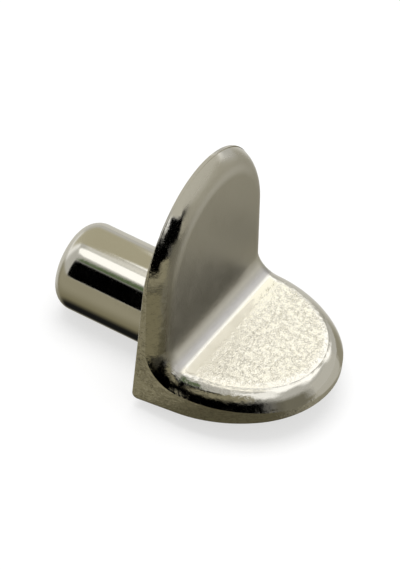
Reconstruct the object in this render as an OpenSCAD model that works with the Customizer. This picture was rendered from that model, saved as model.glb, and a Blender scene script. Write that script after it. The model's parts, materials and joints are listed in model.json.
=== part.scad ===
// Shelf support pin, cast in one piece.
// A plain pin goes into the cabinet's side, a tongue-shaped plate lies against
// that side, and a D-shaped ledge carries the shelf's end. One rolled rim runs
// round the plate, down through the concave corner and round the ledge.
// Frame: the wall face of the plate lies in the plane X = 0 and the pin's axis
// in the X axis. +X points out to the ledge's tip, and +Z points up.

/* [Pin] */
// Diameter of the pin
pin_d = 5; // [4:0.5:7]
// Length of the pin, from the wall face to its free end
pin_len = 7.2; // [5:0.2:12]
// Radius that rounds the pin's free end
pin_end_r = 1.1; // [0.3:0.1:1.8]

/* [Plate] */
// Width of the plate and of the ledge
plate_w = 10.8; // [9:0.2:16]
// Height of the plate's top above the pin's axis
plate_top = 10.9; // [9:0.1:14]
// Thickness of the plate at the level of the ledge's top
plate_t = 1.7; // [1.5:0.1:3]
// Angle by which the plate's front face leans back, in degrees
plate_lean = 4; // [0:0.5:5]

/* [Ledge] */
// Reach of the ledge, from the wall face to its tip
ledge_reach = 8.95; // [8:0.05:12]
// Height of the ledge's top above the pin's axis
ledge_top = 0.85; // [0:0.05:2]
// Thickness of the ledge at the wall face
ledge_t = 2.75; // [2.2:0.05:4]
// Angle by which the ledge's underside rises towards the tip, in degrees
ledge_rise = 7.5; // [0:0.5:9]

/* [Edges] */
// Radius of the rolled rim on the plate, the corner and the ledge
rim_r = 1.1; // [0.4:0.1:1.3]
// Radius of the concave corner between the plate and the ledge
corner_r = 1.05; // [0.5:0.05:2]
// Radius that rounds the heel, where the wall face meets the underside
heel_r = 0.3; // [0.1:0.1:0.8]

/* [Hidden] */
round_fn = 64;
nickel = [0.72, 0.69, 0.63];

half_w = plate_w / 2;
// What is trimmed off is first made this much larger than the finished body
spare = 1;

// Places and angles at which two faces meet are kept to a thousandth, so that
// both faces end in exactly the same edge
function thousandth(value) = round(value * 1000) / 1000;

// The lean's cosine is kept to a millionth, so that turning the plate into its
// leaned frame doesn't change its size
lean = acos(round(cos(plate_lean) * 1000000) / 1000000);

// The concave corner's axis is parallel to Y, one corner_r off both faces
corner_x = thousandth(plate_t + corner_r * tan(45 - lean / 2));
corner_z = ledge_top + corner_r;

// The underside starts at the heel and rises to the tip
underside_z = ledge_top - ledge_t;
heel_z = thousandth(underside_z + heel_r * (tan(ledge_rise) + 1 / cos(ledge_rise)));

// How far the wall face and the heel lie from the corner's axis
wall_depth = corner_x / cos(lean) + spare;
heel_depth = norm([corner_x, corner_z - underside_z]) + spare;

// Along the leaned face, from the corner's axis: the plate's top and the centre
// of its round end, placed so that the wall face's top comes at plate_top
plate_run = (plate_top - corner_z) * cos(lean) + corner_x * sin(lean);
arc_run = thousandth(plate_run - half_w);

// Each half of the ledge is drawn by a side arc and a tip arc that meet without
// a kink. The line through their centres is the long side of a 3-4-5 triangle.
ledge_run = ledge_reach - corner_x;
side_turn = atan2(3, 4);
tip_r = (3 * half_w - ledge_run) / 2;
side_r = 2 * ledge_run - half_w;

// The quarter of a disc that rounds an outer corner
module quarter_disc(r) {
    intersection() {
        circle(r, $fn = round_fn);
        square(r);
    }
}

// Half of a slab seen end on, from the axis out to the radius r:
// its top lies in Y = 0, its outer corner is rolled, and it is depth deep
module rolled_edge(r, depth) {
    translate([0, -depth]) square([r - rim_r, depth]);
    translate([0, -depth]) square([r, depth - rim_r]);
    translate([r - rim_r, -rim_r]) quarter_disc(rim_r);
}

// A pie-shaped slab about Z with the rolled edge along its arc
module rolled_arc(r, depth, start, turn) {
    rotate_extrude(angle = turn, start = start, $fn = round_fn) rolled_edge(r, depth);
}

// The plate in its leaned frame: Z runs up the face, X out of it, and the
// origin is the corner's axis, so that the face lies at X = -corner_r. It runs
// on below the axis, behind the corner.
module plate() {
    translate([-corner_r, 0, -spare]) linear_extrude(arc_run + spare) rotate(-90) {
        rolled_edge(half_w, wall_depth - corner_r);
        mirror([1, 0]) rolled_edge(half_w, wall_depth - corner_r);
    }
    translate([-corner_r, 0, arc_run]) rotate([0, 90, 0])
        rolled_arc(half_w, wall_depth - corner_r, 90, 180);
}

// The solid below the concave corner, swept about the corner's axis
module corner() {
    turn = thousandth(90 - lean);
    rotate([90, 0, 0]) rotate_extrude(angle = turn, start = 270 - turn, $fn = round_fn)
        translate([corner_r, 0]) rotate(90) {
            rolled_edge(half_w, heel_depth - corner_r);
            mirror([1, 0]) rolled_edge(half_w, heel_depth - corner_r);
        }
}

// The ledge forward of the corner's axis, with its top in Z = 0
module ledge() {
    for (side = [0, 1]) mirror([0, side, 0]) {
        translate([0, half_w - side_r, 0])
            rolled_arc(side_r, ledge_t + spare, 90 - side_turn, side_turn);
        translate([ledge_run - tip_r, 0, 0])
            rolled_arc(tip_r, ledge_t + spare, 0, 90 - side_turn);
    }
}

// The body's side view, which cuts the wall face, the heel and the underside
module side_view() {
    reach = ledge_reach + spare;
    top = plate_top + spare;
    polygon([
        [0, top],
        [0, heel_z],
        [heel_r * (1 + sin(ledge_rise)), heel_z - heel_r * cos(ledge_rise)],
        [reach, underside_z + reach * tan(ledge_rise)],
        [reach, top]
    ]);
    translate([heel_r, heel_z]) circle(heel_r, $fn = round_fn);
}

// The pin, from its root inside the plate to its rounded free end. The root is a
// 45 degree cone, which carries the pin's lower edge, where it hangs below the
// heel, back up to the underside.
module pin() {
    pin_r = pin_d / 2;
    root = plate_t / 2;
    rotate([0, -90, 0]) rotate_extrude($fn = round_fn) {
        polygon([[0, -root], [pin_r - root, -root], [pin_r, 0], [0, 0]]);
        square([pin_r - pin_end_r, pin_len]);
        square([pin_r, pin_len - pin_end_r]);
        translate([pin_r - pin_end_r, pin_len - pin_end_r]) quarter_disc(pin_end_r);
    }
}

module shelf_support() {
    color(nickel) union() {
        intersection() {
            union() {
                translate([corner_x, 0, corner_z]) {
                    rotate([0, -lean, 0]) plate();
                    corner();
                }
                translate([corner_x, 0, ledge_top]) ledge();
            }
            rotate([90, 0, 0]) linear_extrude(plate_w + 2 * spare, center = true) side_view();
        }
        pin();
    }
}

shelf_support();
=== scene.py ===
# %% [markdown]
# # A shelf support pin in nickel-plated zinc
# A shelf support is a small casting. Its pin goes into a hole in the cabinet's
# side, its plate lies against that side, and the shelf rests on its ledge. This
# lesson dresses the CAD model of one: a smooth mesh, a plated finish, and the
# kind of light that makes small bright hardware readable.

# %% Load the CAD model
import json
import math
import bmesh
import bpy
import numpy as np
from mathutils import Matrix, Vector

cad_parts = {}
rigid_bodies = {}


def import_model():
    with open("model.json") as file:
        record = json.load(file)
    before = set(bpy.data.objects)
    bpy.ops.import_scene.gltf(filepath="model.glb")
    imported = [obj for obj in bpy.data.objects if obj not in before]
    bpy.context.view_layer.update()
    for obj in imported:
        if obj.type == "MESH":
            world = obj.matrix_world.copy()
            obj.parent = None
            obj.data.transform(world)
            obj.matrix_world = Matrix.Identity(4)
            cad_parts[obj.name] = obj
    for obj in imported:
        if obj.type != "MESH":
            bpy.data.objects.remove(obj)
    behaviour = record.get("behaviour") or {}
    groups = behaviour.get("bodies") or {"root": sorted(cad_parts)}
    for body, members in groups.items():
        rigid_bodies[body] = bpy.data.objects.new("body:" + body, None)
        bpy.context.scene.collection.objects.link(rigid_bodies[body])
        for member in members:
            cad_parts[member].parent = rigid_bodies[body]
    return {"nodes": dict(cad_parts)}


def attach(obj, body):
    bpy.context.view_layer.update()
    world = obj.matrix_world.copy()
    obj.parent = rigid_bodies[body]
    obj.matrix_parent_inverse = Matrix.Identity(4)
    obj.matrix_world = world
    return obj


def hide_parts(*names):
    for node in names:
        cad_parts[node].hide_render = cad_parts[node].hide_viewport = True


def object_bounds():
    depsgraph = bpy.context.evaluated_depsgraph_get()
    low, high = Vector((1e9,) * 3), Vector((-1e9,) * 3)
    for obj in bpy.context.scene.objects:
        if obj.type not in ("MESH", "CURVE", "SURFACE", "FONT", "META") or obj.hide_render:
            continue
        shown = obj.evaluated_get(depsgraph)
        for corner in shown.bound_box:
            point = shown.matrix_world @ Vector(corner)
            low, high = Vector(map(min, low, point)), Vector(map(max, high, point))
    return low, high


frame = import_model()
cad_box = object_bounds()
print("CAD nodes:", sorted(frame["nodes"]))

# %% [markdown]
# ## The sizes
# Bright metal mirrors its surroundings, so it would show every flat facet of
# the CAD model. The casting is therefore drawn again as a smooth mesh. It could
# be wrapped round the CAD triangles, but drawing it from the same few sizes
# that drive the CAD source, in millimetres, gives cleaner rows of faces. Smooth
# arcs bulge a hair beyond the CAD's facets, so the whole skin is drawn 0.15%
# smaller and stays inside the CAD model's box.

# %% Sizes in millimetres
MM = 0.001
SKIN = 0.9985 * MM
pin_r, pin_len, pin_end_r = 2.5, 7.2, 1.1
half_w, plate_top, plate_t = 5.4, 10.9, 1.7
plate_lean = math.radians(4.0)
ledge_reach, ledge_top, ledge_t = 8.95, 0.85, 2.75
ledge_rise = math.radians(7.5)
corner_r, heel_r = 1.05, 0.3
print("casting", 2 * half_w, "mm wide, from", pin_r, "mm below to", plate_top, "mm above the pin's axis")

# %% [markdown]
# ## Where the camera stands
# A small bright part is pictured through a very long lens, here from 40 cm, so
# that it shows almost no perspective. The camera looks down on the ledge from
# the front right. It could be aimed by a constraint, but a matrix made of its
# own three directions is exact, and holds the small roll by which the part
# stands tipped in the frame. The part lies a little off the picture's middle,
# so the camera is aimed beside it, and its lens isn't shifted.

# %% The camera's three directions
azimuth, elevation, roll = (math.radians(angle) for angle in (26.448, 43.856, 6.626))
distance = 0.4
px_per_mm, frame_px = 18.82, 570
aside_px, above_px = 10.8, 40.25

towards_camera = Vector((math.sin(azimuth) * math.cos(elevation),
                         -math.cos(azimuth) * math.cos(elevation),
                         math.sin(elevation)))
level = Vector((math.cos(azimuth), math.sin(azimuth), 0))
upright = towards_camera.cross(level)
right = level * math.cos(roll) + upright * math.sin(roll)
up = upright * math.cos(roll) - level * math.sin(roll)

part_middle = Vector((1.5 * MM, 0, 0))
camera_place = part_middle + towards_camera * distance
aim = part_middle - right * (aside_px / px_per_mm * MM) + up * (above_px / px_per_mm * MM)
back = (camera_place - aim).normalized()
right = (right - back * right.dot(back)).normalized()
up = back.cross(right)
print("camera at", [round(c, 3) for c in camera_place], "m")

# %% [markdown]
# ## The camera's lens
# The lens length follows from how many pixels a millimetre takes at that
# distance. The sensor's 36 mm lie along the picture's longer side, which is its
# height here.

# %% The camera
camera_data = bpy.data.cameras.new("camera")
camera_data.sensor_width = 36
camera_data.lens = px_per_mm * distance / MM / frame_px * camera_data.sensor_width
camera_data.clip_start, camera_data.clip_end = 0.01, 20
camera = bpy.data.objects.new("camera", camera_data)
camera.matrix_world = (Matrix.Translation(camera_place)
                       @ Matrix((right, up, back)).transposed().to_4x4())
bpy.context.scene.collection.objects.link(camera)
bpy.context.scene.camera = camera
print("lens", round(camera_data.lens), "mm")

# %% [markdown]
# ## One sheet, bent once
# Seen from the side, the front of the casting is a straight face, nearly a
# quarter turn of a small radius, and another straight face. It could be cut
# from blocks, but then the rolled rim would have to be patched together at the
# corner. Thought of as one flat sheet that is bent once, every front point has
# an address: how far it lies along the bend, and how far from the middle. First
# come the fixed points of that side view: the concave corner's axis and length,
# and the heel, where the wall face turns into the underside.

# %% Fixed points of the side view
corner_x = plate_t + corner_r * math.tan(math.radians(45) - plate_lean / 2)
corner_z = ledge_top + corner_r
corner_run = corner_r * (math.radians(90) - plate_lean)
underside_z = ledge_top - ledge_t
heel_z = underside_z + heel_r * (math.tan(ledge_rise) + 1 / math.cos(ledge_rise))
heel_end_x = heel_r * (1 + math.sin(ledge_rise))
print("corner's axis at", round(corner_x, 2), round(corner_z, 2), "and", round(corner_run, 2), "mm round")

# %% [markdown]
# ## From an address to a place
# Three small functions turn an address on the sheet into a place in space. The
# run is 0 at the corner's upper end, less than 0 on the plate, and more than
# the corner's length on the ledge. A point behind the front is found by going
# inwards, square to the front, until the wall face, the heel's rounding or the
# underside is met.

# %% The front, the thickness behind it, and any point between
def casting_front(run):
    """Place (x, z) of the front at this run, and the direction that points into the metal."""
    axis = np.array([corner_x, corner_z])
    if run < 0:
        inward = np.array([-math.cos(plate_lean), -math.sin(plate_lean)])
        along = np.array([-math.sin(plate_lean), math.cos(plate_lean)])
        return axis + corner_r * inward - run * along, inward
    if run > corner_run:
        return np.array([corner_x + run - corner_run, ledge_top]), np.array([0.0, -1.0])
    turn = math.pi + plate_lean + run / corner_r
    inward = np.array([math.cos(turn), math.sin(turn)])
    return axis + corner_r * inward, inward


def casting_thickness(run):
    """How far the back lies behind the front: at the wall face, the underside or the heel."""
    (x, z), (dx, dz) = casting_front(run)
    if dx < -1e-9:
        to_wall = -x / dx
        if z + to_wall * dz >= heel_z:
            return to_wall
    slope = math.tan(ledge_rise)
    to_underside = (z - underside_z - x * slope) / (dx * slope - dz)
    if x + to_underside * dx >= heel_end_x:
        return to_underside
    gap = np.array([x - heel_r, z - heel_z])
    half_b = gap @ np.array([dx, dz])
    return -half_b + math.sqrt(half_b ** 2 - gap @ gap + heel_r ** 2)


def casting_point(run, across, depth):
    (x, z), (dx, dz) = casting_front(run)
    return (x + dx * depth, across, z + dz * depth)


print("plate", round(casting_thickness(-1.0), 2), "mm thick, ledge",
      round(casting_thickness(corner_run + 3), 2), "mm thick near the corner")

# %% [markdown]
# ## The outline
# On the flat sheet the outline is a long D at each end: the plate ends in a half
# circle, and the ledge in four arcs that meet without a kink. Half of it is
# enough, because the casting is the same on both sides. Each point also keeps
# the direction that points inwards on the sheet, which the rolled rim needs.

# %% Half of the outline, from the plate's top to the ledge's tip
plate_run = (plate_top - corner_z) * math.cos(plate_lean) + corner_x * math.sin(plate_lean)
arc_run = plate_run - half_w
ledge_run = ledge_reach - corner_x
side_turn = math.atan2(3, 4)
tip_r = (3 * half_w - ledge_run) / 2
side_r = 2 * ledge_run - half_w
half_outline = []


def add_arc(centre_run, centre_across, radius, start, end, steps):
    for a in np.linspace(start, end, steps + 1)[1:]:
        half_outline.append((centre_run + radius * math.cos(a), centre_across + radius * math.sin(a),
                             -math.cos(a), -math.sin(a)))


def add_straight(end_run, steps):
    for run in np.linspace(half_outline[-1][0], end_run, steps + 1)[1:]:
        half_outline.append((run, half_w, 0.0, -1.0))


half_outline.append((-arc_run - half_w, 0.0, 1.0, 0.0))
add_arc(-arc_run, 0.0, half_w, math.pi, math.pi / 2, 60)
add_straight(0.0, 16)
add_straight(corner_run, 90)
add_arc(corner_run, half_w - side_r, side_r, math.pi / 2, math.pi / 2 - side_turn, 24)
add_arc(corner_run + ledge_run - tip_r, 0.0, tip_r, math.pi / 2 - side_turn, 0.0, 48)
tip = len(half_outline) - 1
outline = half_outline + [(run, -across, to_run, -to_across)
                          for run, across, to_run, to_across in reversed(half_outline[1:-1])]
print("outline of", len(outline), "points, arcs of", half_w, round(side_r, 2), round(tip_r, 2), "mm")

# %% [markdown]
# ## The rolled rim's section
# The front edge of the casting isn't a plain quarter round. It rolls over with
# a radius of 1.15 mm, flattens to 1.7 mm, and ends in a faint crease at the side
# wall, where the die parts. The CAD model has one 1.1 mm radius there, which
# differs by less than 0.15 mm. A bevel would give one round edge too, so the
# section is drawn as three arcs instead. Each is given by the tilt of the
# surface at its start and its end, and the last one rounds the crease.

# %% The rim's section
rim_section = [(0.0, 0.0)]
for start, end, radius, steps in ((90, 55, 1.15, 10), (55, 18, 1.7, 12), (18, 0, 0.12, 4)):
    tilts = np.radians(np.linspace(start, end, steps + 1))
    for before, after in zip(tilts[:-1], tilts[1:]):
        out, down = rim_section[-1]
        rim_section.append((out + radius * (math.cos(after) - math.cos(before)),
                            down + radius * (math.sin(before) - math.sin(after))))
rim_width, rim_depth = rim_section[-1]
print("rim", round(rim_width, 2), "mm wide and", round(rim_depth, 2), "mm deep")

# %% [markdown]
# ## Strips round the outline
# The rim runs all the way round the casting, and a side wall lies behind it.
# Both are strips that follow the outline, ring by ring: first the rim, then the
# wall, then a narrow rounding at the back edge, which a casting has because
# sharp edges don't take plating well. Every face lies along the shape, so the
# reflections run along it too.

# %% Rings of the rim, the side wall and the back edge
back_edge_r = 0.09
wall_steps, edge_steps = 8, 4
points, faces, rings = [], [], []


def add_ring(place):
    rings.append([len(points) + k for k in range(len(outline))])
    points.extend(place(*address) for address in outline)


def back_edge_point(share):
    """A rule for one ring of the back edge's rounding, from 0 at the wall to 1 at the back."""
    def place(run, across, to_run, to_across):
        inner_run, inner_across = run + to_run * back_edge_r, across + to_across * back_edge_r
        wall_end = np.array(casting_point(run, across, casting_thickness(run) - back_edge_r))
        edge = np.array(casting_point(run, across, casting_thickness(run)))
        back_start = np.array(casting_point(inner_run, inner_across, casting_thickness(inner_run)))
        return tuple((1 - share) ** 2 * wall_end + 2 * share * (1 - share) * edge
                     + share ** 2 * back_start)
    return place


for out, depth in rim_section:
    inset = rim_width - out
    add_ring(lambda run, across, to_run, to_across:
             casting_point(run + to_run * inset, across + to_across * inset, depth))
for share in np.linspace(0, 1, wall_steps + 1)[1:]:
    add_ring(lambda run, across, to_run, to_across: casting_point(
        run, across, rim_depth + share * (casting_thickness(run) - back_edge_r - rim_depth)))
for share in np.linspace(0, 1, edge_steps + 1)[1:]:
    add_ring(back_edge_point(share))

round_count = len(outline)
for inner, outer in zip(rings[:-1], rings[1:]):
    for k in range(round_count):
        after = (k + 1) % round_count
        faces.append((inner[k], inner[after], outer[after], outer[k]))
print(len(rings), "rings and", len(faces), "faces")

# %% [markdown]
# ## The front and the back
# What is left open is the flat front inside the rim, and the back inside its
# edge. One large many-sided face would shade badly round the bend, so each is
# filled with rows that run straight across, from a point on the left side to
# its twin on the right side.

# %% Rows across the front and the back
row_steps = 28


def fill_face(ring, flip):
    rows = [[ring[0]]]
    for k in range(1, tip):
        left_end, right_end = np.array(points[ring[k]]), np.array(points[ring[round_count - k]])
        row = [ring[k]]
        for share in np.linspace(0, 1, row_steps + 1)[1:-1]:
            row.append(len(points))
            points.append(tuple(left_end + share * (right_end - left_end)))
        rows.append(row + [ring[round_count - k]])
    rows.append([ring[tip]])
    for upper, lower in zip(rows[:-1], rows[1:]):
        for i in range(row_steps):
            if len(upper) == 1:
                face = (upper[0], lower[i + 1], lower[i])
            elif len(lower) == 1:
                face = (upper[i], upper[i + 1], lower[0])
            else:
                face = (upper[i], upper[i + 1], lower[i + 1], lower[i])
            faces.append(face[::-1] if flip else face)


fill_face(rings[0], False)
fill_face(rings[-1], True)
body_mesh = bpy.data.meshes.new("body")
body_mesh.from_pydata([tuple(c * SKIN for c in point) for point in points], [], faces)
body_mesh.validate()
print("body:", len(body_mesh.polygons), "faces")

# %% [markdown]
# ## The pin
# The pin is a straight round shank with a rounded end. A cylinder with a bevel
# would do, but turning a profile about the axis gives rows of faces that lie
# where the reflections need them. Its root runs on into the plate as a cone,
# which also backs the small part of the pin that hangs below the heel.

# %% The pin's profile, from its root to its end
root = plate_t / 2
shank_end = pin_len - pin_end_r
cone_steps, shank_steps, rounding_steps, end_steps = 6, 18, 14, 6
pin_profile = [(root, 0.0), (root, pin_r - root)]
pin_profile += [(x, pin_r - x) for x in np.linspace(root, 0, cone_steps + 1)[1:]]
pin_profile += [(x, pin_r) for x in np.linspace(0, -shank_end, shank_steps + 1)[1:]]
pin_profile += [(-shank_end - pin_end_r * math.sin(a), pin_r - pin_end_r + pin_end_r * math.cos(a))
                for a in np.linspace(0, math.pi / 2, rounding_steps + 1)[1:]]
pin_profile += [(-pin_len, r) for r in np.linspace(pin_r - pin_end_r, 0, end_steps + 1)[1:]]
print("pin profile of", len(pin_profile), "points")

# %% [markdown]
# ## Turning the pin
# Each point of the profile becomes a ring, and the two points on the axis
# become one point each. Faces that meet the axis are triangles.

# %% Turn the profile
turns = 128
pin_points, pin_faces, pin_rings = [], [], []
for x, r in pin_profile:
    if r < 1e-9:
        pin_rings.append([len(pin_points)] * turns)
        pin_points.append((x, 0.0, 0.0))
    else:
        pin_rings.append([len(pin_points) + i for i in range(turns)])
        pin_points.extend((x, r * math.cos(a), r * math.sin(a))
                          for a in np.linspace(0, 2 * math.pi, turns, endpoint=False))
for near_ring, far_ring in zip(pin_rings[:-1], pin_rings[1:]):
    for i in range(turns):
        after = (i + 1) % turns
        corners = (near_ring[i], far_ring[i], far_ring[after], near_ring[after])
        pin_faces.append(tuple(dict.fromkeys(corners)))
pin_mesh = bpy.data.meshes.new("pin")
pin_mesh.from_pydata([tuple(c * SKIN for c in point) for point in pin_points], [], pin_faces)
pin_mesh.validate()
print("pin:", len(pin_mesh.polygons), "faces")

# %% [markdown]
# ## One casting
# The pin and the body are one piece of metal. Two meshes pushed into each other
# would look the same from outside, but a boolean union leaves one closed skin
# with nothing hidden inside, which can also be printed or measured. A boolean
# needs every face to look outwards, so that is seen to first.

# %% Join the pin to the body
for mesh in (body_mesh, pin_mesh):
    skin = bmesh.new()
    skin.from_mesh(mesh)
    bmesh.ops.recalc_face_normals(skin, faces=skin.faces)
    skin.to_mesh(mesh)
    skin.free()
body = bpy.data.objects.new("body_blank", body_mesh)
pin = bpy.data.objects.new("pin_blank", pin_mesh)
for blank in (body, pin):
    bpy.context.scene.collection.objects.link(blank)
union = body.modifiers.new("union", "BOOLEAN")
union.operation, union.solver, union.object = "UNION", "EXACT", pin
bpy.context.view_layer.update()
casting = bpy.data.meshes.new_from_object(
    body.evaluated_get(bpy.context.evaluated_depsgraph_get()))
for blank in (body, pin):
    bpy.data.objects.remove(blank)
support = bpy.data.objects.new("plated_support", casting)
bpy.context.scene.collection.objects.link(support)
print("casting:", len(casting.vertices), "points,", len(casting.polygons), "faces")

# %% [markdown]
# ## Smooth shading
# Smooth shading averages the directions of neighbouring faces, which would bend
# the reflections near the rim and round off the pin's root. Edges sharper than
# 35 degrees are therefore marked sharp, and weighted normals let the large flat
# faces stay flat right up to the rim.

# %% Shade the casting
casting.polygons.foreach_set("use_smooth", [True] * len(casting.polygons))
casting.set_sharp_from_angle(angle=math.radians(35))
weighted = support.modifiers.new("weighted", "WEIGHTED_NORMAL")
weighted.keep_sharp = True
print("modifiers:", [modifier.name for modifier in support.modifiers])

# %% [markdown]
# ## Where the metal is smooth
# The plating is the same all over, but what lies under it isn't. The ledge
# keeps the fine leather-like grain of the casting, and so do the side walls,
# while the pin is smooth, and so is a strip of the ledge next to the corner. The
# plate's face and the corner are satin, and the rims are polished by tumbling.
# These places could be painted by hand, but where a point lies on the sheet
# tells it exactly. So each point is brought back to its address: its depth
# behind the front, and how far the front has turned there, from 90 degrees on
# the plate to 0 on the ledge.

# %% From a place back to its address
def smoothed(value, low, high):
    """Rises from 0 at low to 1 at high, without a kink."""
    t = min(1.0, max(0.0, (value - low) / (high - low)))
    return t * t * (3 - 2 * t)


def lie_on_casting(point):
    """Depth behind the front, and the turn of the front there, in degrees."""
    x, y, z = (c / SKIN for c in point)
    if z > corner_z:
        face_x = corner_x - (corner_r + math.sin(plate_lean) * (z - corner_z)) / math.cos(plate_lean)
        return face_x - x, 90.0
    if x < corner_x:
        turn = math.degrees(math.atan2(corner_x - x, corner_z - z))
        return math.hypot(corner_x - x, corner_z - z) - corner_r, turn
    return ledge_top - z, 0.0


print("the ledge's front lies", lie_on_casting(Vector((5 * SKIN, 0, ledge_top * SKIN))))

# %% [markdown]
# ## Three marks on every point
# Three numbers on each point of the mesh carry this to the material: how much
# of the casting's grain shows, how satin the metal is, and how far the front
# has turned. Tumbling leaves no sharp borders, so the first two fade over some
# tenths of a millimetre, and over more than one on the plate's top rim and on
# the ledge beyond the corner. The wall face, which is hidden in use, is half
# satin, and so is the pin's end.

# %% Mark the cast and the satin places
WALL_FACE_X = 0.001
WALL_GRAIN, RIM_GRAIN, LEFT_RIM_GRAIN = 0.7, 0.04, 0.15


def cast_grain_at(point):
    """1 on the ledge's front, less on the side walls, little on the rims, and 0 elsewhere."""
    x, y = point[0] / MM, point[1] / MM
    if x < WALL_FACE_X:
        return 0.0
    depth = lie_on_casting(point)[0]
    on_front = smoothed(x, corner_x - 0.1, corner_x + 1.3)
    on_rim = RIM_GRAIN + (LEFT_RIM_GRAIN - RIM_GRAIN) * smoothed(-y, 3.0, 4.4)
    on_side = on_rim + (WALL_GRAIN - on_rim) * smoothed(depth, rim_depth - 0.15, rim_depth + 0.2)
    return on_front + (on_side - on_front) * smoothed(depth, -0.02, 0.13)


def satin_at(point):
    """1 on the plate's face and top rim, fading out down the corner, and half on the hidden faces."""
    x, y, z = (c / MM for c in point)
    if x < WALL_FACE_X:
        on_wall_face = 0.5 * (x > -WALL_FACE_X)
        return on_wall_face + 0.5 * smoothed(-x, shank_end - 0.2, shank_end + 0.4)
    depth, turn = lie_on_casting(point)
    at_top = smoothed(z, 7.4, 8.6) * (1 - smoothed(-y, 2.3, 3.2))
    return (1 - smoothed(depth, 0.02, 0.5 + 0.7 * at_top)) * smoothed(turn, 0, 22)


def turn_at(point):
    """1 on the plate, falling to 0 round the corner."""
    return lie_on_casting(point)[1] / 90 if point[0] > 0 else 0.0


for name, rule in (("cast_grain", cast_grain_at), ("satin", satin_at), ("turn", turn_at)):
    marks = [rule(point.co) for point in casting.vertices]
    casting.attributes.new(name, "FLOAT", "POINT").data.foreach_set("value", marks)
    print(name, "averages", round(float(np.mean(marks)), 2))

# %% [markdown]
# ## Building blocks for the materials
# A procedural material is a small sum of noises. A handful of helpers keeps it
# readable: one wires a socket to a number or to another node, and the others
# each add one node and return its output.

# %% Node helpers
def wire(tree, socket, value):
    if isinstance(value, bpy.types.NodeSocket):
        tree.links.new(value, socket)
    else:
        socket.default_value = value


def math_node(tree, operation, a, b):
    node = tree.nodes.new("ShaderNodeMath")
    node.operation = operation
    wire(tree, node.inputs[0], a)
    wire(tree, node.inputs[1], b)
    return node.outputs[0]


def spread(tree, value, low, high, start=0.0, end=1.0):
    """Takes the range start..end of a value to low..high, and stops there."""
    node = tree.nodes.new("ShaderNodeMapRange")
    for name, number in (("From Min", start), ("From Max", end), ("To Min", low), ("To Max", high)):
        node.inputs[name].default_value = number
    wire(tree, node.inputs["Value"], value)
    return node.outputs[0]


def blend_colour(tree, share, a, b):
    node = tree.nodes.new("ShaderNodeMix")
    node.data_type = "RGBA"
    for name, value in (("Factor", share), ("A", a), ("B", b)):
        wire(tree, node.inputs[name], value)
    return node.outputs["Result"]


def mark(tree, name):
    """Reads a number that the mesh carries on its points."""
    node = tree.nodes.new("ShaderNodeAttribute")
    node.attribute_name = name
    return node.outputs["Fac"]


print("helpers ready")

# %% [markdown]
# ## The nickel plate
# Nickel is a metal with a faint warm tone, so the shader is fully metallic and
# the base colour is the colour of its reflections. All the noises take the
# object's own coordinates in metres. A scale of 7000 therefore means that a
# lump is about a seventh of a millimetre across.

# %% Start the plating
nickel = bpy.data.materials.new("nickel_plate")
nickel.use_nodes = True
plating = nickel.node_tree
metal = plating.nodes["Principled BSDF"]
metal.inputs["Metallic"].default_value = 1.0
object_place = plating.nodes.new("ShaderNodeTexCoord").outputs["Object"]


def noise(scale, detail, output="Fac"):
    node = plating.nodes.new("ShaderNodeTexNoise")
    node.inputs["Scale"].default_value = scale
    node.inputs["Detail"].default_value = detail
    wire(plating, node.inputs["Vector"], object_place)
    return node.outputs[output]


cast, satin, turn = (mark(plating, name) for name in ("cast_grain", "satin", "turn"))
print("plating", nickel.name, "started")

# %% [markdown]
# ## The grain of the casting
# Die-cast zinc has a skin like fine leather: low lumps with thin creases that
# wander between them and come and go. Noise alone gives the lumps. The creases
# are the borders of Voronoi cells, whose coordinates are stirred by a noise, so
# that no border is straight, and a slow noise lets them fade in and out.

# %% Lumps and creases
CELLS_PER_METRE = 7200
STIR = 0.27 * MM
fine_lumps, lumps, slow_waves = noise(13000, 2), noise(7000, 2), noise(2400, 1)

stir = plating.nodes.new("ShaderNodeVectorMath")
stir.operation = "MULTIPLY_ADD"
wire(plating, stir.inputs[0], noise(5500, 2, "Color"))
stir.inputs[1].default_value = (STIR, STIR, STIR)
wire(plating, stir.inputs[2], object_place)

cells = plating.nodes.new("ShaderNodeTexVoronoi")
cells.feature = "DISTANCE_TO_EDGE"
cells.inputs["Scale"].default_value = CELLS_PER_METRE
wire(plating, cells.inputs["Vector"], stir.outputs[0])
near_border = spread(plating, cells.outputs["Distance"], 1.0, 0.0, 0.0, 0.14)
here_and_there = spread(plating, noise(3800, 1), 0.0, 1.0, 0.36, 0.56)
creases = math_node(plating, "MULTIPLY", near_border, here_and_there)
print("grain of", round(1 / CELLS_PER_METRE / MM, 2), "mm cells")

# %% [markdown]
# ## The plating's colour
# Over the whole casting the nickel drifts between a cooler and a warmer tone.
# In the pits and creases of the grain the colour turns a dull brown, which is
# painted shade. The satin face scatters some light away, which a slightly
# darker tone stands for. Along the foot of the inner corner a band of neutral
# grey is painted in, as painted shade in the corner.

# %% Colour
COOLER, WARMER = (0.80, 0.78, 0.71, 1), (0.75, 0.725, 0.65, 1)
DULL, CORNER_SHADE_GREY, PIT_SHADE_BROWN = (0.64, 0.62, 0.56, 1), (0.46, 0.447, 0.432, 1), (0.50, 0.45, 0.33, 1)

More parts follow.
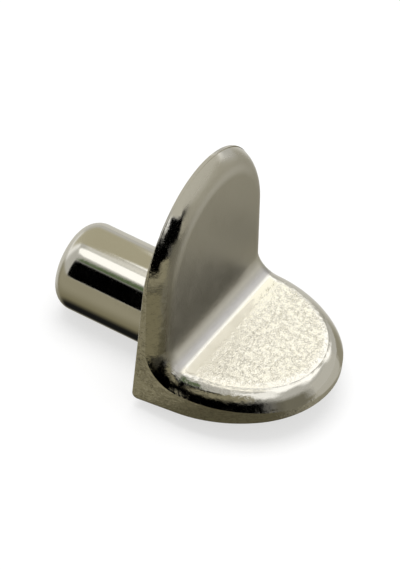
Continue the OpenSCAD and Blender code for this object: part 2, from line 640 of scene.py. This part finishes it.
bright = blend_colour(plating, noise(400, 2), COOLER, WARMER)
on_face = math_node(plating, "MULTIPLY", satin, spread(plating, turn, 0.0, 0.85, 0.9, 1.0))
dulled = blend_colour(plating, on_face, bright, DULL)
# The neutral grey band along the foot of the inner corner is painted shade in the corner.
in_corner = math_node(plating, "MULTIPLY", spread(plating, turn, 0.0, 1.0, 0.09, 0.2),
                      spread(plating, turn, 1.0, 0.0, 0.34, 0.56))
corner_shade_share = math_node(plating, "MULTIPLY", satin, in_corner)
corner_shaded = blend_colour(plating, corner_shade_share, dulled, CORNER_SHADE_GREY)
# Dull brown in the pits and creases of the grain is painted shade, where the grain is deepest.
pits = math_node(plating, "MAXIMUM", spread(plating, fine_lumps, 0.5, 0.0, 0.33, 0.45),
                 math_node(plating, "MULTIPLY", creases, 0.5))
pit_shaded = math_node(plating, "MULTIPLY", cast, pits)
wire(plating, metal.inputs["Base Color"], blend_colour(plating, pit_shaded, corner_shaded, PIT_SHADE_BROWN))
print("colours: bright, dulled, greyed and stained nickel")

# %% [markdown]
# ## The plating's gloss
# Bright plating is nearly a mirror, but never an even one: its roughness drifts
# a little. The satin places are much rougher, so that they show only soft
# shadows of the room, and the cast places are a little rougher than the pin.

# %% Roughness
bare_rough = spread(plating, noise(900, 3), 0.04, 0.08, 0.3, 0.7)
satin_rough = math_node(plating, "MULTIPLY", satin, spread(plating, noise(900, 3), 0.29, 0.38))
cast_rough = spread(plating, cast, 0.0, 0.03)
rough = math_node(plating, "ADD", math_node(plating, "ADD", satin_rough, bare_rough), cast_rough)
wire(plating, metal.inputs["Roughness"], rough)
print("roughness from 0.04 on the pin to 0.46 on the plate")

# %% [markdown]
# ## The plating's relief
# The lumps are a few hundredths of a millimetre high, far too fine to model, so
# they are bump. The rims have little of the grain but a slow waviness from the
# tumbling, which frays the edges of the dark reflections in them.

# %% Bump
RELIEF = 0.022 * MM
all_lumps = math_node(plating, "ADD", math_node(plating, "MULTIPLY", fine_lumps, 0.5), lumps)
crease_depth = math_node(plating, "MULTIPLY", creases, 0.35)
grain_height = math_node(plating, "MULTIPLY", math_node(plating, "SUBTRACT", all_lumps, crease_depth),
                         spread(plating, cast, 0.03, 1.1))
wave_share = math_node(plating, "SUBTRACT", spread(plating, cast, 0.0, 1.8, 0.0, 0.3),
                       spread(plating, cast, 0.0, 1.0, 0.3, 1.0))
waves = math_node(plating, "MULTIPLY", slow_waves, wave_share)
relief = plating.nodes.new("ShaderNodeBump")
relief.inputs["Strength"].default_value = 1.0
relief.inputs["Distance"].default_value = RELIEF
wire(plating, relief.inputs["Height"], math_node(plating, "ADD", grain_height, waves))
wire(plating, metal.inputs["Normal"], relief.outputs["Normal"])
print("relief", round(RELIEF / MM, 3), "mm high")

# %% [markdown]
# ## In place of the CAD solid
# The dressed casting stands for the CAD model's one solid, which is hidden but
# stays what the physics works with. The support has no joint, so it rides on
# the root body, and it wears the nickel plate.

# %% Dress the part
casting.materials.clear()
casting.materials.append(nickel)
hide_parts("shelf_support")
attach(support, "root")
print("dressed", support.name)

# %% [markdown]
# ## A white that gives no light
# The part stands on plain white paper in a plain white surround. If that white
# came from stronger lamps, the metal would bleach. So a ray that comes from the
# camera, or from a mirror or glass, is shown white by the Light Path node, and
# all other rays see the plain lit material.

# %% How much of a seen ray is white
def seen_share(tree, share):
    """This share for camera, mirror and glass rays, and 0 for the rays that light the part."""
    rays = tree.nodes.new("ShaderNodeLightPath").outputs
    seen = math_node(tree, "ADD", rays["Is Camera Ray"], rays["Is Glossy Ray"])
    seen = math_node(tree, "ADD", seen, rays["Is Transmission Ray"])
    return math_node(tree, "MULTIPLY", math_node(tree, "MINIMUM", seen, 1.0), share)


def mix_shaders(tree, share, first, second):
    node = tree.nodes.new("ShaderNodeMixShader")
    wire(tree, node.inputs["Fac"], share)
    wire(tree, node.inputs[1], first)
    wire(tree, node.inputs[2], second)
    return node.outputs[0]


print("white for seen rays only")

# %% [markdown]
# ## The surround
# The world lights the part softly from all sides, at a strength at which a grey
# card would look as grey as it is.

# %% Surround
surround = bpy.data.worlds.new("surround")
bpy.context.scene.world = surround
surround.use_nodes = True
tree = surround.node_tree
soft = tree.nodes["Background"]
white = tree.nodes.new("ShaderNodeBackground")
for background, strength in ((soft, 0.75), (white, 1.0)):
    background.inputs["Color"].default_value = (1, 1, 1, 1)
    background.inputs["Strength"].default_value = strength
wire(tree, tree.nodes["World Output"].inputs["Surface"],
     mix_shaders(tree, seen_share(tree, 1.0), soft.outputs[0], white.outputs[0]))
print("surround of strength", soft.inputs["Strength"].default_value)

# %% [markdown]
# ## The paper floor
# The floor lies at the lowest point of the CAD model and catches the part's
# shadow. Only part of it is shown as pure white, and the rest is matt paper, so
# the shadow stays, but stays faint. The floor is left out of the reflections,
# where the tent's own panels take its place.

# %% Floor
floor_z, floor_half = cad_box[0][2], 2
corners = [(x * floor_half, y * floor_half, floor_z) for x, y in ((-1, -1), (1, -1), (1, 1), (-1, 1))]
floor_mesh = bpy.data.meshes.new("floor")
floor_mesh.from_pydata(corners, [], [(0, 1, 2, 3)])
floor = bpy.data.objects.new("floor", floor_mesh)
bpy.context.scene.collection.objects.link(floor)
floor.visible_glossy = False

paper = bpy.data.materials.new("white_paper")
paper.use_nodes = True
tree = paper.node_tree
tree.nodes.clear()
matt, glow = tree.nodes.new("ShaderNodeBsdfDiffuse"), tree.nodes.new("ShaderNodeEmission")
matt.inputs["Color"].default_value = (0.93, 0.93, 0.93, 1)
glow.inputs["Strength"].default_value = 1.0
output = tree.nodes.new("ShaderNodeOutputMaterial")
wire(tree, output.inputs["Surface"],
     mix_shaders(tree, seen_share(tree, 0.6), matt.outputs[0], glow.outputs[0]))
floor_mesh.materials.append(paper)
print("floor at", round(floor_z / MM, 2), "mm")

# %% [markdown]
# ## The softbox
# One large round lamp hangs above and a little behind the part, as a softbox
# does. It gives the soft shadow on the paper. The metal shows the panels below
# instead of the lamp. The view transform is Standard, so a colour comes out as
# it is written.

# %% Softbox
lamp_data = bpy.data.lights.new("overhead_softbox", "AREA")
lamp_data.shape, lamp_data.size = "DISK", 0.5
lamp_data.energy = 2.2
lamp = bpy.data.objects.new("overhead_softbox", lamp_data)
lamp.location = (-0.05, 0.05, 0.6)
lamp.rotation_euler = (-Vector(lamp.location)).to_track_quat("-Z", "Y").to_euler()
lamp.visible_glossy = False
bpy.context.scene.collection.objects.link(lamp)
bpy.context.scene.view_settings.view_transform = "Standard"
print("softbox of", lamp_data.energy, "W")

# %% [markdown]
# ## A tent of panels
# Polished metal has hardly any colour of its own: it shows the room. Who
# pictures small bright hardware hangs a tent of white, grey and black panels
# round it, and moves them until each face of the metal mirrors the right one.
# An image of a room could stand in, but panels are easier to aim. Each panel
# here is a patch of a sphere between two compass angles, counted clockwise from
# +Y, and two heights above the horizon, all in degrees. It fades out at its
# four edges over a few degrees, and the nearer panel covers the farther.

# %% A panel's shape
PANEL_STEPS = 48


def panel_mesh(name, azimuths, heights, soft_edges, radius, centre):
    """The patch, with a number on each point that fades from 1 inside to 0 at the edges."""
    points, quads, fades = [], [], []
    for azimuth in np.linspace(*azimuths, PANEL_STEPS + 1):
        for height in np.linspace(*heights, PANEL_STEPS + 1):
            turn, lift = math.radians(azimuth), math.radians(height)
            points.append((centre[0] + radius * math.sin(turn) * math.cos(lift),
                           centre[1] + radius * math.cos(turn) * math.cos(lift),
                           centre[2] + radius * math.sin(lift)))
            fade = 1.0
            if azimuths[1] - azimuths[0] < 360:
                fade *= smoothed(azimuth - azimuths[0], 0, soft_edges[0])
                fade *= smoothed(azimuths[1] - azimuth, 0, soft_edges[1])
            if heights[0] > -90:
                fade *= smoothed(height - heights[0], 0, soft_edges[2])
            if heights[1] < 90:
                fade *= smoothed(heights[1] - height, 0, soft_edges[3])
            fades.append(fade)
    for i in range(PANEL_STEPS):
        for j in range(PANEL_STEPS):
            k = i * (PANEL_STEPS + 1) + j
            quads.append((k, k + 1, k + PANEL_STEPS + 2, k + PANEL_STEPS + 1))
    mesh = bpy.data.meshes.new(name)
    mesh.from_pydata(points, [], quads)
    mesh.attributes.new("fade", "FLOAT", "POINT").data.foreach_set("value", fades)
    return mesh


print("a panel has", PANEL_STEPS ** 2, "faces")

# %% [markdown]
# ## A panel's glow
# A panel glows in its own tone where its fade is 1, and is clear where it is 0.
# Two more switches stand for the small cards that are held close to a part, so
# that only one of its faces sees them. With bounce 1 or 2, a panel shows in the
# first reflection only, or from the second on. With a reach, in metres, it
# shows only to faces nearer than that.

# %% A panel's material
def panel_material(name, tone, bounce, reach):
    material = bpy.data.materials.new(name)
    material.use_nodes = True
    tree = material.node_tree
    tree.nodes.clear()
    rays = tree.nodes.new("ShaderNodeLightPath").outputs
    shown = mark(tree, "fade")
    if bounce:
        side = "LESS_THAN" if bounce == 1 else "GREATER_THAN"
        shown = math_node(tree, "MULTIPLY", shown, math_node(tree, side, rays["Glossy Depth"], 1.5))
    if reach:
        shown = math_node(tree, "MULTIPLY", shown,
                          math_node(tree, "LESS_THAN", rays["Ray Length"], reach))
    glow, clear = tree.nodes.new("ShaderNodeEmission"), tree.nodes.new("ShaderNodeBsdfTransparent")
    glow.inputs["Color"].default_value = (*tone, 1)
    output = tree.nodes.new("ShaderNodeOutputMaterial")
    wire(tree, output.inputs["Surface"], mix_shaders(tree, shown, clear.outputs[0], glow.outputs[0]))
    return material


def grey(level, warmth=0.0):
    return (level * (1 + 0.06 * warmth), level, level * (1 - 0.22 * warmth))


print("a warm mid grey is", [round(c, 2) for c in grey(0.5, 1)])

# %% [markdown]
# ## Hanging a panel
# A panel is seen only in mirror reflections. The camera, the shadows and the
# soft light pass through it, so the tent never shows and never changes the
# plain light on the floor.

# %% Hang a panel
panels = []


def hang_panel(name, azimuths, heights, soft_edges, tone, radius,
               centre=(0, 0, 0), bounce=None, reach=None):
    """Adds one glowing patch of a sphere, which only mirror reflections show."""
    mesh = panel_mesh(name, azimuths, heights, soft_edges, radius, centre)
    mesh.materials.append(panel_material(name, tone, bounce, reach))
    panel = bpy.data.objects.new(name, mesh)
    bpy.context.scene.collection.objects.link(panel)
    panel.visible_camera = panel.visible_diffuse = panel.visible_shadow = False
    panel.visible_transmission = panel.visible_volume_scatter = False
    panels.append(panel)


hang_panel("tent", (-180, 180), (-90, 90), (1, 1, 1, 1), grey(0.52, 0.2), 0.30)
print("tent hung")

# %% [markdown]
# ## Ground and walls
# The lower half of the tent is what the side walls, the pin's belly and the
# plate's face mirror. It is lighter behind and to the right, brown and dark in
# front, and nearly black straight below, where a black patch is painted shadow
# of the part on the floor. The walls on the right rise from grey to light grey,
# which the concave corner shows as one even band.

# %% Ground and walls
hang_panel("ground", (-180, 180), (-90, 0), (1, 1, 1, 2), grey(0.29, 1.0), 0.295)
hang_panel("ground_back", (-100, 10), (-50, 0), (15, 24, 12, 2), grey(0.62, 0.3), 0.293)
hang_panel("ground_front", (70, 265), (-90, 0), (20, 1, 1, 2), grey(0.18, 1.7), 0.29)
hang_panel("ground_left", (188, 262), (-60, 3), (10, 12, 40, 1), grey(0.31, 1.2), 0.285)
hang_panel("ground_dark", (105, 168), (-34, 2), (18, 16, 10, 1), grey(0.04, 1.0), 0.283)
# The black patch straight below is painted shadow: it stands for the part's own shadow on the floor.
hang_panel("painted_shadow_below", (-180, 180), (-90, -50), (1, 1, 1, 18), grey(0.01), 0.28)
hang_panel("right_low", (22, 80), (-31, 2), (6, 14, 12, 2), grey(0.51, 0.4), 0.278)
hang_panel("right_wall", (22, 80), (-3, 34), (6, 14, 6, 8), grey(0.56, 0.3), 0.277)
hang_panel("brown_wall", (68, 130), (-60, 34), (18, 18, 1, 16), grey(0.17, 1.0), 0.275)
print(len(panels), "panels so far")

# %% [markdown]
# ## White panels overhead
# The ledge faces straight up and mirrors what stands behind the part, so the
# brightest panels hang there. They are a little brighter than white paper, as
# lit panels are, and the one that the ledge's middle shows is cream.

# %% White panels
hang_panel("white_back", (-68, 36), (16, 90), (10, 12, 10, 1), grey(1.42), 0.27)
hang_panel("cream_back", (-50, -7), (28, 56), (8, 8, 6, 8), (1.28, 1.26, 1.13), 0.267)
hang_panel("white_right", (28, 76), (33, 90), (6, 22, 8, 1), grey(1.42), 0.262)
hang_panel("white_far_right", (48, 120), (47, 90), (20, 24, 9, 1), grey(1.32), 0.26)
hang_panel("white_top", (-180, 180), (66, 90), (1, 1, 10, 1), grey(1.3, 0.3), 0.255)
print(len(panels), "panels so far")

# %% [markdown]
# ## The camera's side
# The dark room behind the camera gives bright metal its black accents: one bar
# along the pin, and a patch each on the rims of the plate and of the ledge. A
# little green light at its upper edge tints the border of the bar.

# %% Dark opening on the camera's side
hang_panel("camera_side", (102, 196), (-8, 50), (35, 6, 2, 30), grey(0.0), 0.25)
hang_panel("camera_side_low", (148, 200), (-34, 44), (16, 6, 8, 17), grey(0.0), 0.249)
hang_panel("camera_side_left", (184, 216), (2.5, 47), (8, 6, 1, 5), grey(0.0), 0.248)
hang_panel("green_edge", (186, 218), (43, 57), (8, 6, 4, 4), (0.09, 0.13, 0.06), 0.2485)
print(len(panels), "panels so far")

# %% [markdown]
# ## Light strips
# Narrow strips draw the bright lines: one along the pin above its black bar,
# one over the front rim, and a soft light that rounds off the pin's end.

# %% Strips
hang_panel("strip_left", (-150, -104), (55, 75), (8, 9, 4, 5), grey(1.3), 0.245)
hang_panel("strip_right", (98, 166), (37, 66), (16, 22, 10, 5), grey(1.1), 0.24)
hang_panel("pin_end_light", (-108, -48), (0, 58), (10, 10, 8, 8), grey(1.0), 0.235)
print(len(panels), "panels so far")

# %% [markdown]
# ## Cards for the pin and the inner corner
# Cards held close to the metal part what two faces would otherwise mirror
# alike. One shades the pin's back, which would show the ledge's white panels.
# The plate and the ledge also mirror each other: a white card feeds the ledge's
# rear through the plate, and a dark flag just above the ledge keeps that light
# off the plate's lower face, which therefore turns darker towards the corner. A
# dark card beside the ledge lets that shade run out softly up the face.

# %% Cards round the pin and the corner
hang_panel("pin_card", (-92, -14), (10, 73), (10, 6, 14, 5), grey(0.42, 1.2), 0.03,
           centre=(-0.004, 0, 0))
hang_panel("corner_white", (-40, 90), (22, 88), (12, 12, 10, 8), grey(1.7), 0.2, bounce=2)
hang_panel("ledge_flag", (-180, 180), (81.5, 90), (1, 1, 1.5, 1), grey(0.06, 1.0), 0.05,
           centre=(0.0066, 0.0018, -0.0476), bounce=2, reach=0.0043)
hang_panel("side_shade", (-180, 180), (87.3, 90), (1, 1, 1.4, 1), grey(0.17, 1.0), 0.05,
           centre=(0.0052, 0.0067, -0.0491), bounce=1)
print(len(panels), "panels so far")

# %% [markdown]
# ## Cards round the plate's rim and under the ledge
# A small cap round the plate's top tones its rim down to the grey of its face.
# On its front left side, where the rim turns away from the light, four black
# cards draw one slanting black patch, and an olive card lies below them. A dark
# card under the ledge stands for the shade there.

# %% Cards round the plate and under the ledge
plate_centre = (0.001, 0, 0.0075)
plate_cards = [
    ("plate_cap", (-180, 180), (38, 90), (1, 1, 10, 1), grey(0.52, 0.5), 0.0065, 0.007),
    ("plate_cap_low", (5, 142), (12, 58), (14, 6, 10, 10), grey(0.38, 0.8), 0.0064, 0.007),
    ("rim_flag", (135, 178), (11, 47), (5, 3, 9, 5), grey(0.0), 0.0063, 0.007),
    ("rim_flag_middle", (150, 178), (2, 19), (15, 3, 3, 4), grey(0.0), 0.00628, 0.007),
    ("rim_flag_top", (126, 150), (42, 56), (4, 4, 4, 5), grey(0.0), 0.00625, 0.007),
    ("rim_flag_low", (150, 186), (-14, 6), (12, 4, 8, 2), grey(0.0), 0.0118, 0.0095),
    ("rim_olive", (128, 182), (-27, 5), (8, 8, 11, 3), grey(0.25, 1.4), 0.012, 0.0095),
]
for name, azimuths, heights, soft_edges, tone, radius, reach in plate_cards:
    hang_panel(name, azimuths, heights, soft_edges, tone, radius,
               centre=plate_centre, bounce=1, reach=reach)
hang_panel("under_ledge", (95, 250), (81, 90), (25, 10, 2, 1), grey(0.09, 1.7), 0.05,
           centre=(0.006, -0.002, -0.0524))
print(len(panels), "panels hang round the part")

# %% [markdown]
# ## The CAD model's box
# The dressing may change how the part looks, but not how big it is. The CAD
# model's box is printed.

# %% Print the CAD box
bpy.context.view_layer.update()
print("CAD box   ", [[round(c / MM, 3) for c in corner] for corner in cad_box])
